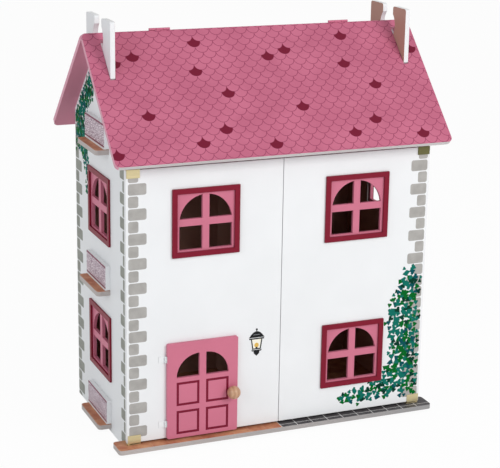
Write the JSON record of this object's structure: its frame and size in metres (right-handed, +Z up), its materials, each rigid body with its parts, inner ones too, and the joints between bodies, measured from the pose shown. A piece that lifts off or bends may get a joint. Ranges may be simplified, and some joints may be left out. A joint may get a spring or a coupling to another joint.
{
  "type": "dollhouse",
  "caption": "Two-storey wooden dollhouse with attic, hinged front doors and entry door, lifting front roof, side ledges and chimneys.",
  "frame": {"origin": "on the ground under the middle of the ridge, the bounding box's bottom centre", "axes": "+X to the viewer's right when facing the front, +Y from the front to the back wall, +Z up"},
  "size_m": [0.656, 0.403, 0.777],
  "materials": {
    "white_paint": "wood board painted satin white",
    "roof_print": "board with a printed fish-scale pattern, satin",
    "crimson_paint": "painted crimson, satin",
    "pink_paint": "painted pink, satin",
    "floor_print": "board with a printed tile pattern, satin",
    "rail_print": "board with a printed lace pattern, satin",
    "beech": "clear-varnished turned beech",
    "brass": "satin",
    "pink_metal": "enamelled in the roof's pink",
    "white_metal": "white enamel",
    "steel": "satin"
  },
  "bodies": {
    "house": {"attic_floor": "floor_print", "back_wall": "white_paint", "base_board": "floor_print", "first_floor": "floor_print", "hinge_bracket_bottom_left": "brass", "hinge_bracket_bottom_right": "brass", "hinge_bracket_top_left": "brass", "hinge_bracket_top_right": "brass", "magnet_left": "steel", "magnet_right": "steel", "partition_ground": "white_paint", "partition_upper": "white_paint", "rail_attic_left": "rail_print", "rail_attic_right": "rail_print", "rail_first_left": "rail_print", "rail_first_right": "rail_print", "rail_ground_left": "rail_print", "rail_ground_right": "rail_print", "ridge_hinge_pin_left": "pink_metal", "ridge_hinge_pin_right": "pink_metal", "ridge_hinge_rear_leaf_left": "pink_metal", "ridge_hinge_rear_leaf_right": "pink_metal", "roof_rear": "roof_print", "side_wall_left": "white_paint", "side_wall_right": "white_paint", "window_frame_left_lower": "crimson_paint", "window_frame_left_upper": "crimson_paint", "window_frame_right_lower": "crimson_paint", "window_frame_right_upper": "crimson_paint", "window_grille_left_lower": "pink_paint", "window_grille_left_upper": "pink_paint", "window_grille_right_lower": "pink_paint", "window_grille_right_upper": "pink_paint"},
    "roof_front": {"ridge_hinge_front_leaf_left": "pink_metal", "ridge_hinge_front_leaf_right": "pink_metal", "roof_front": "roof_print"},
    "front_door_left": {"entry_hinge_frame_leaf_bottom": "white_metal", "entry_hinge_frame_leaf_top": "white_metal", "entry_hinge_pin_bottom": "white_metal", "entry_hinge_pin_top": "white_metal", "front_door_left": "white_paint", "hinge_plate_bottom_left": "brass", "hinge_plate_top_left": "brass", "strike_left": "steel", "window_frame_front_upper_left": "crimson_paint", "window_grille_front_upper_left": "pink_paint"},
    "front_door_right": {"front_door_right": "white_paint", "hinge_plate_bottom_right": "brass", "hinge_plate_top_right": "brass", "strike_right": "steel", "window_frame_front_lower_right": "crimson_paint", "window_frame_front_upper_right": "crimson_paint", "window_grille_front_lower_right": "pink_paint", "window_grille_front_upper_right": "pink_paint"},
    "entry_door": {"door_knob": "beech", "entry_door": "pink_paint", "entry_hinge_door_leaf_bottom": "white_metal", "entry_hinge_door_leaf_top": "white_metal", "knob_screw": "steel"}
  },
  "joints": [
    {"name": "roof_lift", "type": "hinge", "parent": "house", "child": "roof_front", "pos_m": [0, 0, 0.75], "axis": [-1, 0, 0], "range_deg": [0, 268]},
    {"name": "door_left_swing", "type": "hinge", "parent": "house", "child": "front_door_left", "pos_m": [-0.2955, -0.1615, 0.0215], "axis": [0, 0, -1], "range_deg": [0, 180]},
    {"name": "door_right_swing", "type": "hinge", "parent": "house", "child": "front_door_right", "pos_m": [0.2955, -0.1615, 0.0215], "axis": [0, 0, 1], "range_deg": [0, 180]},
    {"name": "entry_door_swing", "type": "hinge", "parent": "front_door_left", "child": "entry_door", "pos_m": [-0.2275, -0.1693, 0.0205], "axis": [0, 0, -1], "range_deg": [0, 100]}
  ]
}
